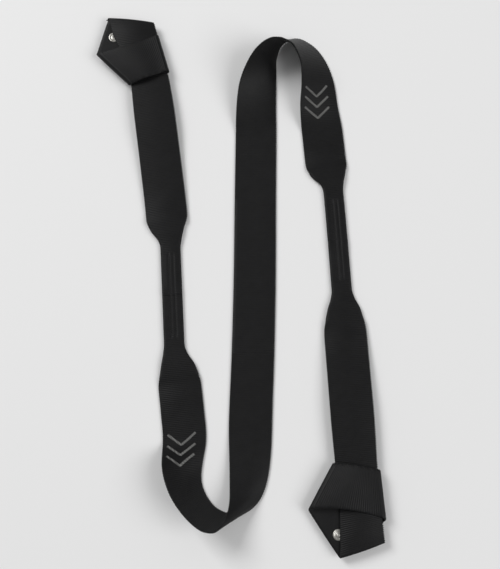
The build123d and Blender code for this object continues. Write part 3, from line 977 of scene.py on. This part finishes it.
        def ring(side: int) -> tuple[np.ndarray, np.ndarray]:
            """Points over one edge, from the ribbed face to the other."""
            column = -1 if side > 0 else 0
            reach = self.edge * abs(np.sin(caps))[None, :]
            tilt = lean[:, column, None]
            out = np.cos(tilt) * side * reach
            down = -np.sin(abs(tilt)) * reach
            tall = THICKNESS / 2 * np.cos(caps)[None, :]
            places_x = x[:, column, None] + out + np.sin(tilt) * tall
            places_z = z[:, column, None] + down + np.cos(tilt) * tall
            return places_x, places_z

        top_x, top_z = x + np.sin(lean) * THICKNESS / 2, z + np.cos(lean) * THICKNESS / 2
        low_x, low_z = x - np.sin(lean) * THICKNESS / 2, z - np.cos(lean) * THICKNESS / 2
        left, right = ring(1), ring(-1)
        all_x = np.concatenate((top_x, left[0], low_x[:, ::-1], right[0][:, ::-1]), axis=1)
        all_z = np.concatenate((top_z, left[1], low_z[:, ::-1], right[1][:, ::-1]), axis=1)
        rim, flank = np.ones((rows, 3)), np.ones_like(x)
        face = np.concatenate((flank, 0 * rim, SMOOTH_FACE_RELIEF * flank, 0 * rim), axis=1)
        edge = np.concatenate((0 * flank, LEFT_EDGE_RELIEF * rim, 0 * flank, rim), axis=1)
        spread = flat + WIDTH / 2
        uv_x = np.concatenate((spread, spread[:, -1:] * rim + 0.5, spread[:, ::-1],
                               spread[:, :1] * rim - 0.5), axis=1)
        points = (self.stations.middle[:, None] + across[:, None] * all_x[..., None]
                  + up[:, None] * all_z[..., None])
        points[..., 2] += self.lift_off(points[..., 2].min(axis=1))[:, None]
        around = all_x.shape[1]
        faces = self.skin(rows, columns)
        piece = new_object(self.name, self.place.metres(points.reshape(-1, 3)), faces)
        distance = (self.lengths + self.start_distance)[:, None] * np.ones((1, around))
        store(piece, "distance", distance)
        store(piece, "face", face)
        store(piece, "edge", edge)
        self.sharpen_ends(piece, around)
        self.turn_outwards(piece)
        self.unwrap(piece, uv_x.ravel(), distance.ravel())
        return woven_relief(material).bake(piece)

    @staticmethod
    def lift_off(lowest: np.ndarray) -> np.ndarray:
        """How far to lift each row, without a step, so that none goes below the table."""
        lift = np.pad(np.maximum(TABLE_GAP - lowest, 0), LIFT_ROWS - 1, mode="edge")
        lift = np.lib.stride_tricks.sliding_window_view(lift, LIFT_ROWS).max(axis=1)
        window = np.hanning(LIFT_ROWS)
        return np.convolve(lift, window / window.sum(), mode="valid")

    @staticmethod
    def skin(rows: int, columns: int) -> list[tuple[int, ...]]:
        """The faces round the body, and the strips that close its two ends.

        Args:
            rows: how many sections the body has.
            columns: how many points lie across each of its faces.

        Returns:
            The vertex numbers of each face.
        """
        around = 2 * columns + 6
        numbers = np.arange(rows * around).reshape(rows, around)
        turned = np.roll(numbers, -1, axis=1)
        quads = np.stack((numbers[:-1], turned[:-1], turned[1:], numbers[1:]), axis=2)
        faces = [tuple(q) for q in quads.reshape(-1, 4)]
        top, low = np.arange(columns), np.arange(columns)[::-1] + columns + 3
        left_rim, right_rim = np.arange(3) + columns, np.arange(3) + 2 * columns + 3
        for row, flip in ((0, False), (rows - 1, True)):
            strips = [(top[i], top[i + 1], low[i + 1], low[i]) for i in range(columns - 1)]
            strips.append((top[-1], *left_rim, low[-1]))
            strips.append((low[0], *right_rim, top[0]))
            for strip in strips:
                ordered = strip[::-1] if flip else strip
                faces.append(tuple(int(i) + row * around for i in ordered))
        return faces

    @staticmethod
    def sharpen_ends(piece: Piece, around: int) -> None:
        """Keep the shading of the two cut ends apart from that of the faces."""
        pairs = np.empty(len(piece.data.edges) * 2, np.int32)
        piece.data.edges.foreach_get("vertices", pairs)
        row = pairs.reshape(-1, 2) // around
        last = len(piece.data.vertices) // around - 1
        sharp = (row[:, 0] == row[:, 1]) & ((row[:, 0] == 0) | (row[:, 0] == last))
        mark = piece.data.attributes.new("sharp_edge", "BOOLEAN", "EDGE")
        mark.data.foreach_set("value", sharp)

    @staticmethod
    def turn_outwards(piece: Piece) -> None:
        """Turn the faces round if they point inwards."""
        piece.data.calc_loop_triangles()
        points = np.empty(len(piece.data.vertices) * 3)
        piece.data.vertices.foreach_get("co", points)
        corners = np.empty(len(piece.data.loop_triangles) * 3, np.int32)
        piece.data.loop_triangles.foreach_get("vertices", corners)
        a, b, c = points.reshape(-1, 3)[corners.reshape(-1, 3)].transpose(1, 0, 2)
        if (a * np.cross(b, c)).sum() < 0:
            piece.data.flip_normals()

    @staticmethod
    def unwrap(piece: Piece, across: np.ndarray, distance: np.ndarray) -> None:
        """Give the piece a UV map, in widths of webbing."""
        layer = piece.data.uv_layers.new(name="Webbing")
        corners = np.empty(len(piece.data.loops), np.int32)
        piece.data.loops.foreach_get("vertex_index", corners)
        uv = np.stack((across[corners], distance[corners]), axis=1) / WIDTH
        layer.data.foreach_set("uv", uv.astype(np.float32).ravel())


def lathe(name: str, profile: list[tuple[float, float]], centre: Vector,
          segments: int = 64) -> Piece:
    """Turn a closed profile about an upright axis.

    Args:
        name: the piece's name.
        profile: radius and height pairs in millimetres, from the axis or round a ring.
        centre: the axis at height zero, in metres.
        segments: how many steps round.

    Returns:
        The piece.
    """
    points: list[tuple[float, float, float]] = []
    rings: list[list[int]] = []
    for radius, height in profile:
        z = centre.z + height / 1000
        if radius == 0:
            rings.append([len(points)] * segments)
            points.append((centre.x, centre.y, z))
            continue
        ring = []
        for step in range(segments):
            angle = tau * step / segments
            ring.append(len(points))
            points.append((centre.x + radius / 1000 * cos(angle),
                           centre.y + radius / 1000 * sin(angle), z))
        rings.append(ring)
    faces = []
    for low, high in zip(rings, rings[1:]):
        for step in range(segments):
            nxt = (step + 1) % segments
            corners = dict.fromkeys((low[step], low[nxt], high[nxt], high[step]))
            if len(corners) > 2:
                faces.append(tuple(corners))
    piece = new_object(name, np.array(points), faces)
    Ribbon.turn_outwards(piece)
    piece.data.shade_smooth()
    return piece


# ---------------------------------------------------------------- sub-assemblies


@dataclass
class Strap:
    """The three legs, the two bends and the two sewn necks."""

    place: PlaceInPart
    webbing: bpy.types.Material
    seam_thread: bpy.types.Material
    mark_thread: bpy.types.Material
    stitch_pitch: float = 3.2
    stitch_length: float = 2.5
    thread_width: float = 0.75
    mark_width: float = 24.0
    mark_depth: float = 10.0
    mark_count: int = 3
    mark_step: float = 10.0
    mark_line: float = 2.5
    mark_pitch: float = 0.36
    mark_stitch: float = 0.42
    seam_lift: float = -0.72
    mark_aside: float = 2.5
    left_mark: float = 139.0
    right_mark: float = 134.5

    def cut(self, route: Stations, first: int, last: int) -> Stations:
        """The route between two drawn rows."""
        return route.between(first * ROUTE_STEPS, last * ROUTE_STEPS)

    def build(self) -> list[Piece]:
        """Make the webbing, its seams and its marks.

        Returns:
            The pieces.
        """
        route = route_stations()
        reach = route.distance[::ROUTE_STEPS]
        left_middle, right_middle = float(reach[LEFT_NECK[1]]), float(reach[RIGHT_NECK[1]])
        left_shoulder = float(reach[LEFT_NECK[2]]) - left_middle
        right_shoulder = float(reach[RIGHT_NECK[0]] - reach[CENTRE[1]])
        lower = Ribbon("lower_webbing", self.cut(route, LEFT_NECK[1], CENTRE[0]), self.place,
                       start_distance=left_middle, seam_middle=0.0,
                       bulges=((left_shoulder + SPOON_SHIFT, SPOON, SPOON_REACH),))
        upper = Ribbon("upper_webbing", self.cut(route, CENTRE[1], RIGHT_NECK[1]), self.place,
                       start_distance=float(reach[CENTRE[1]]),
                       seam_middle=right_middle - float(reach[CENTRE[1]]),
                       bulges=((right_shoulder - SPOON_SHIFT, SPOON, SPOON_REACH),))
        centre = Ribbon("centre_webbing", self.cut(route, *CENTRE), self.place,
                        start_distance=float(reach[CENTRE[0]]))
        pieces = []
        for ribbon, nodes in (
                (lower, ("left_neck_webbing", "left_leg_webbing", "lower_bend_webbing")),
                (centre, ("centre_leg_webbing",)),
                (upper, ("upper_bend_webbing", "right_leg_webbing", "right_neck_webbing"))):
            piece = ribbon.build(self.webbing)
            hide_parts(*nodes)
            pieces.append(piece)
        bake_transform(pieces[0], "left_run", "centre_run", self.place.vector((-42.0, -170.0, 0.0)),
                 self.place.vector((-17.0, -170.0, 0.0)))
        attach(pieces[1], "centre_run")
        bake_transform(pieces[2], "centre_run", "right_run", self.place.vector((25.0, 190.0, 0.0)),
                 self.place.vector((48.0, 190.0, 0.0)))
        for side, rows, middle, leg, mark_at in (
                ("left", LEFT_NECK, left_middle, lower, self.left_mark),
                ("right", RIGHT_NECK, right_middle, upper,
                 right_middle - self.right_mark - upper.start_distance)):
            sewn = Ribbon(f"{side}_neck", self.cut(route, rows[0], rows[2]), self.place,
                          seam_middle=middle - float(reach[rows[0]]))
            pieces.append(self.seam(side, sewn))
            pieces.append(self.mark(side, leg, mark_at))
        return pieces

    def seam(self, side: str, ribbon: Ribbon) -> Piece:
        """The two rows of stitches of a neck, and the bars that close them.

        Args:
            side: left or right.
            ribbon: the neck.

        Returns:
            The stitches.
        """
        middle, half = ribbon.seam_middle, ribbon.seam_length / 2
        row = ribbon.seam_spacing / 2
        lines = []
        for across in (-row, row):
            distance = np.arange(middle - half + 1.2, middle + half - 1.0, 0.5)
            lines.append((distance, np.full_like(distance, across)))
        for end in (middle - half, middle + half):
            across = np.linspace(-row + 0.4, row - 0.4, 9)
            lines.append((np.full_like(across, end), across))
        piece = self.stitch_lines(f"{side}_neck_seam", ribbon, lines, self.seam_lift)
        thread_row(self.seam_thread, self.stitch_pitch,
                   (self.stitch_length, self.thread_width, 0.6)).bake(piece)
        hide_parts(f"{side}_neck_stitching")
        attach(piece, f"{side}_run")
        return piece

    def mark(self, side: str, ribbon: Ribbon, at: float) -> Piece:
        """Nested chevrons of close stitches, a plain pattern.

        Args:
            side: left or right.
            ribbon: the leg that they are sewn on.
            at: how far along it their middle is.

        Returns:
            The mark.
        """
        lines = []
        for index in range(self.mark_count):
            foot = at + (index - (self.mark_count - 1) / 2) * self.mark_step - self.mark_depth / 2
            for hand in (-1, 1):
                share = np.linspace(0, 1, 30)
                across = self.mark_aside + hand * (1 - share) * self.mark_width / 2
                lines.append((foot + self.mark_depth * share, across))
        piece = self.stitch_lines(f"{side}_chevrons", ribbon, lines, 0.05)
        thread_row(self.mark_thread, self.mark_pitch,
                   (self.mark_stitch, self.mark_line, 0.5)).bake(piece)
        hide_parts(f"{side}_sewn_mark")
        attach(piece, f"{side}_run")
        return piece

    @staticmethod
    def stitch_lines(name: str, ribbon: Ribbon, lines: list[tuple[np.ndarray, np.ndarray]],
                     lift: float) -> Piece:
        """A mesh of open lines on the webbing for stitches to follow.

        Args:
            name: the piece's name.
            ribbon: the webbing.
            lines: distances along and places across, for each line.
            lift: how far above the face the lines run.

        Returns:
            The piece.
        """
        points, ups, edges = [], [], []
        for distance, across in lines:
            first = sum(len(p) for p in points)
            place, up = ribbon.surface(distance, across, lift)
            points.append(place)
            ups.append(up)
            edges += [(first + i, first + i + 1) for i in range(len(distance) - 1)]
        mesh = bpy.data.meshes.new(name)
        mesh.from_pydata([tuple(p) for p in ribbon.place.metres(np.concatenate(points))], edges, [])
        piece = link(name, mesh)
        store(piece, "up", np.concatenate(ups), "FLOAT_VECTOR")
        return piece


@dataclass
class SlipLoop:
    """One folded slip loop with its webbing and its ring snap.

    A blend is how far back its start and its end lie, from the mouth or the front's crease.
    """

    side: str
    layout: LoopLayout
    mouth: Stations
    place: PlaceInPart
    webbing: bpy.types.Material
    nickel: bpy.types.Material
    facing: Face
    shoulder: float
    noose_crown: float = 0.8
    front_bulge: tuple[float, float] = (2.4, 15.0)
    bow_reach: float = 14.0
    band_arch: float = 3.2
    band_crown: float = 0.6
    corner_length: float = 9.0
    noose_blend: tuple[float, float] = (55.0, 12.0)
    back_blend: tuple[float, float] = (6.0, 40.0)

    def build(self) -> list[Piece]:
        """Make the loop's webbing and snap.

        Returns:
            The pieces.
        """
        shape = self.layout
        end = FoldedEnd(self.mouth.middle[-1], shape.heading, shape.side, self.facing)
        lengths = {name: getattr(shape, name) * WIDTH
                   for name in ("throat", "front", "turn_back", "back", "band", "tip")}
        throat = end.run(lengths["throat"], shape.throat_turn, width=PINCHED_WIDTH)
        front = end.run(lengths["front"], shape.front_turn, shape.end_line)
        bight = end.fold(BACK_HEIGHT - FRONT_HEIGHT, (FRONT_HEIGHT - BACK_HEIGHT) / 2,
                         shape.bight_skew, shape.bight_slide)
        turn_back = end.run(lengths["turn_back"], shape.turn_back_turn, shape.back_line)
        back = end.run(lengths["back"], shape.back_turn, shape.diagonal_line)
        diagonal = end.fold(BAND_HEIGHT - BACK_HEIGHT, 1.8 * THICKNESS)
        band = end.run(lengths["band"], shape.band_turn, shape.wrap_line)
        wrap = end.fold(TIP_HEIGHT - BAND_HEIGHT, 1.25 * THICKNESS, shape.wrap_skew)
        tip = end.run(lengths["tip"], shape.tip_turn)
        cut = end.run(self.corner_length, 0.0, width=WIDTH - 2 * self.corner_length, steps=6)
        noose = self.mouth.then(joined(throat, front, bight))
        near = (noose.distance - self.front_middle(noose, front)) / self.bow_reach
        bow = unit(noose.half) * (np.exp(-near ** 2) * shape.bow / 2)[:, None]
        noose = Stations(noose.middle + bow, noose.half + bow, noose.normal, noose.depth)
        away = along(shape.heading)
        mouth = self.mouth.middle[-1]
        crease = front[-1][0]
        pieces = []
        piece = self.webbing_piece(
            "noose", noose, ("noose_webbing", "bight_webbing"), crown=self.noose_crown,
            seam_middle=0.0, bulges=((self.shoulder + SPOON_SHIFT, SPOON, SPOON_REACH),
                                     (self.front_middle(noose, front), *self.front_bulge)))
        self.place.vector(mouth - away * self.noose_blend[0])
        self.place.vector(crease - away * self.noose_blend[1])
        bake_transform(piece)
        pieces.append(piece)
        piece = self.webbing_piece("back", joined(turn_back, back), ("back_webbing",))
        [self.place.vector(crease - away * reach) for reach in self.back_blend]
        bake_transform(piece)
        pieces.append(piece)
        piece = self.webbing_piece("band", joined(diagonal, band), ("band_webbing",),
                                   arch=self.band_arch, crown=self.band_crown)
        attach(piece, f"{self.side}_keeper")
        pieces.append(piece)
        piece = self.webbing_piece("tip", joined(wrap, tip, cut), ("wrap_webbing", "tip_webbing"))
        top, low = wrap[0][0], wrap[-1][0]
        self.place.vector(top)
        self.place.vector((top[0], top[1], low[2]))
        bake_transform(piece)
        pieces.append(piece)
        return pieces + self.snap()

    @staticmethod
    def front_middle(noose: Stations, front: list[Section]
                     ) -> float:
        """How far along the noose the middle of its front lies."""
        place = front[len(front) * 2 // 3][0]
        nearest = np.linalg.norm(noose.middle - place, axis=1).argmin()
        return float(noose.distance[nearest])

    def webbing_piece(self, name: str, stations: Stations, nodes: tuple[str, ...],
                      **form: Any) -> Piece:
        """One stretch of the loop's webbing.

        Args:
            name: what it is.
            stations: its sections.
            nodes: the nodes that it stands for.
            form: how it swells, as fields of Ribbon.

        Returns:
            The piece.
        """
        ribbon = Ribbon(f"{self.side}_{name}", stations, self.place, **form)
        piece = ribbon.build(self.webbing)
        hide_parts(*(f"{self.side}_{node}" for node in nodes))
        return piece

    def stand(self, node: str) -> tuple[Vector, float, float]:
        """Where a round node of this side stands in metres, its radius and its height."""
        low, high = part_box(f"{self.side}_{node}")
        foot = Vector(((low[0] + high[0]) / 2, (low[1] + high[1]) / 2, low[2]))
        return foot, (high[0] - low[0]) * 500, (high[2] - low[2]) * 1000

    def snap(self) -> list[Piece]:
        """The snap's two visible parts, turned, and a finish for its two hidden ones."""
        centre, _, top = self.stand("snap_eyelet")
        ring = top - 0.5
        eyelet = lathe(f"{self.side}_snap_ring", [
            (0.0, top - 0.28), (0.55, top - 0.27), (0.95, top - 0.12), (1.35, top - 0.03),
            (1.8, top - 0.05), (2.2, top - 0.2), (2.5, top - 0.36), (2.9, top - 0.38),
            (3.3, top - 0.2), (3.7, top - 0.04), (4.1, top), (4.5, top - 0.08), (4.8, top - 0.25),
            (4.9, ring), (1.6, ring), (1.6, 0.3), (2.0, 0.15), (2.0, 0.0), (0.0, 0.0)], centre)
        centre, radius, tall = self.stand("snap_cap")
        cap = lathe(f"{self.side}_snap_dome", [
            (0.0, 0.0), (0.4 * radius, 0.04), (0.7 * radius, 0.18), (0.88 * radius, 0.42),
            (0.97 * radius, 0.75), (radius, 1.0), (0.985 * radius, 1.15), (0.95 * radius, 1.2),
            (1.6, 1.2), (1.6, tall - 0.3), (2.0, tall - 0.25), (2.0, tall), (0.0, tall)], centre)
        for piece, body, node in ((eyelet, "keeper", "snap_eyelet"), (cap, "tip", "snap_cap")):
            piece.data.materials.append(self.nickel)
            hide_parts(f"{self.side}_{node}")
            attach(piece, f"{self.side}_{body}")
        for node in ("snap_stud", "snap_socket"):
            hidden = frame["nodes"][f"{self.side}_{node}"]
            hidden.data.materials.clear()
            hidden.data.materials.append(self.nickel)
        return [eyelet, cap]


@dataclass
class Studio:
    """The pale surface, the soft light and the camera."""

    place: PlaceInPart
    tilt: float = 13.5
    distance: float = 900.0
    lens: float = 71.8
    room_light: float = 0.27

    def build(self) -> None:
        """Make the floor, the lights and the camera."""
        size = 4.0
        corners = np.array([(-size, -size), (size, -size), (size, size), (-size, size)])
        floor = new_object("table_surface", np.c_[corners, np.full(4, -0.0001)], [(0, 1, 2, 3)])
        floor.data.materials.append(MattCard().build())
        world = bpy.data.worlds.new("room")
        bpy.context.scene.world = world
        world.use_nodes = True
        background = world.node_tree.nodes["Background"]
        set_inputs(background, Color=linear("#FFFFFF"), Strength=self.room_light)
        self.softbox("key", (-2.0, 1.5, 2.3), 1.6, 74.0)
        self.softbox("fill", (2.4, -0.9, 2.3), 2.2, 56.0)
        self.camera()
        bpy.context.scene.view_settings.view_transform = "Standard"

    def softbox(self, name: str, place: tuple[float, float, float], size: float,
                power: float) -> None:
        """One square light that looks at the middle of the table."""
        light = bpy.data.lights.new(name, "AREA")
        light.size = size
        light.energy = power
        lamp = link(name, light)
        lamp.location = place
        lamp.rotation_euler = (-Vector(place)).to_track_quat("-Z", "Y").to_euler()

    def camera(self) -> None:
        """The camera, nearly overhead and leaning a little from the near side."""
        data = bpy.data.cameras.new("camera")
        data.sensor_fit = "HORIZONTAL"
        data.sensor_width = 36.0
        data.lens = self.lens
        data.clip_start = 0.01
        lean = radians(self.tilt)
        camera = link("camera", data)
        camera.location = self.place.vector(
            np.array((0.0, -self.distance * sin(lean), self.distance * cos(lean))))
        camera.rotation_euler = (lean, 0.0, 0.0)
        bpy.context.scene.camera = camera


def main() -> None:
    """Build the strap piece by piece, then the studio."""
    logging.basicConfig(level=logging.INFO, format="%(name)s: %(message)s")
    place = PlaceInPart.from_record(CENTRE_LEG[2])
    webbing = WovenPolyester().build()
    seam_thread = SpunThread("black_sewing_thread", "#0B0B0C", "#050506").build()
    mark_thread = SpunThread("grey_embroidery_thread", "#7E7E7C", "#5C5C5B").build()
    nickel = NickelPlate().build()
    pieces = Strap(place, webbing, seam_thread, mark_thread).build()
    route = route_stations()
    reach = route.distance[::ROUTE_STEPS]
    left_mouth = route.between(0, LEFT_NECK[1] * ROUTE_STEPS).reversed()
    right_mouth = route.between(RIGHT_NECK[1] * ROUTE_STEPS, len(route.middle) - 1)
    left_shoulder = float(reach[LEFT_NECK[1]] - reach[LEFT_NECK[0]])
    right_shoulder = float(reach[RIGHT_NECK[2]] - reach[RIGHT_NECK[1]])
    for side, layout, mouth, shoulder_at in (
            ("left", LEFT_LAYOUT, left_mouth, left_shoulder),
            ("right", RIGHT_LAYOUT, right_mouth, right_shoulder)):
        pieces += SlipLoop(side, layout, mouth, place, webbing, nickel, Face.RIBBED,
                           shoulder_at).build()
    for piece in pieces:
        log.info("%s: %d faces", piece.name, len(piece.data.polygons))
    Studio(place).build()


if __name__ == "__main__":
    main()
